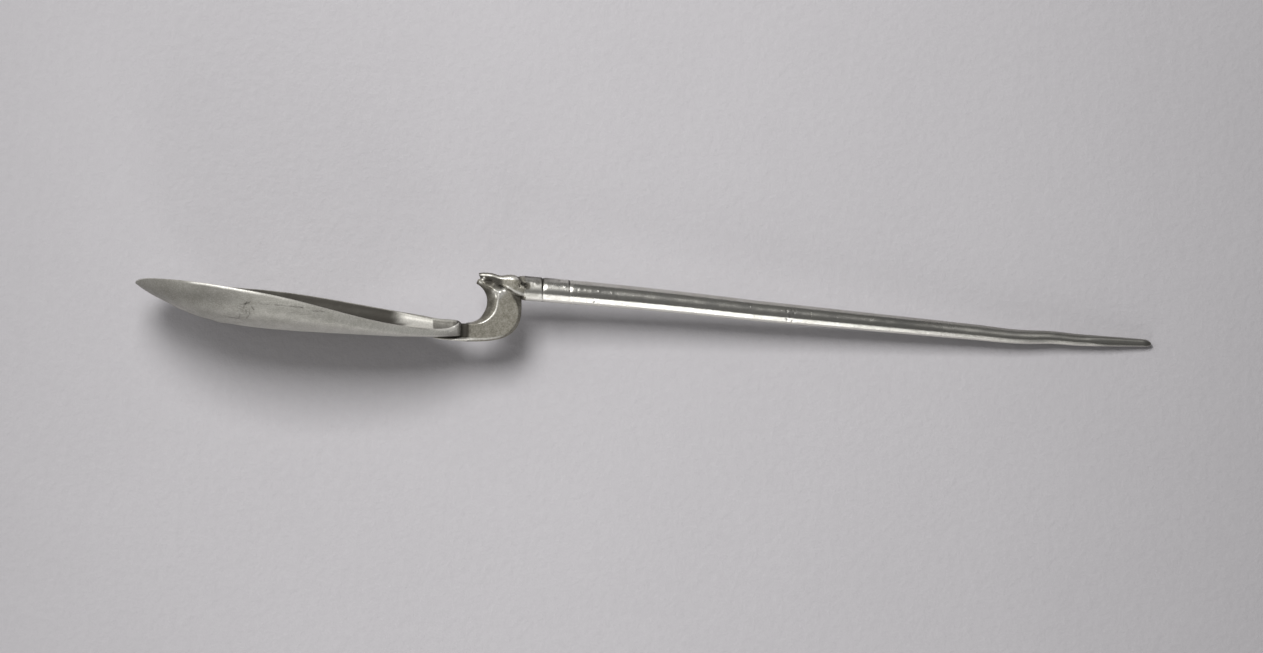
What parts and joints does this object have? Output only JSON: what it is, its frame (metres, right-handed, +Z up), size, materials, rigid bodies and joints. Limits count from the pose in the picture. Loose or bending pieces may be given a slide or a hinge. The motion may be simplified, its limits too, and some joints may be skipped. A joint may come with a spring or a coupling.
{
  "type": "spoon",
  "caption": "Slender spoon with a deep pear-shaped bowl, a cast offset shaped as a beast's neck and head, and a round stem tapering to a point.",
  "frame": {"origin": "on the table, under the middle of the spoon's length and width", "axes": "+X from the bowl's tip to the stem's point, +Y across the bowl, +Z up with the bowl open upwards"},
  "size_m": [0.1782, 0.0264, 0.0121],
  "materials": {
    "hammered_silver": "old silver sheet, satin, with fine scratches and a warm grey tarnish",
    "cast_silver": "cast silver, filed and brushed, tarnished in its hollows",
    "polished_silver": "drawn silver, polished bright by handling, with fine lengthwise scratches",
    "solder": "dull grey silver solder"
  },
  "bodies": {
    "root": {"bowl": "hammered_silver", "head_offset": "cast_silver", "stem": "polished_silver", "heel_solder": "solder", "stem_solder": "solder"}
  },
  "joints": []
}
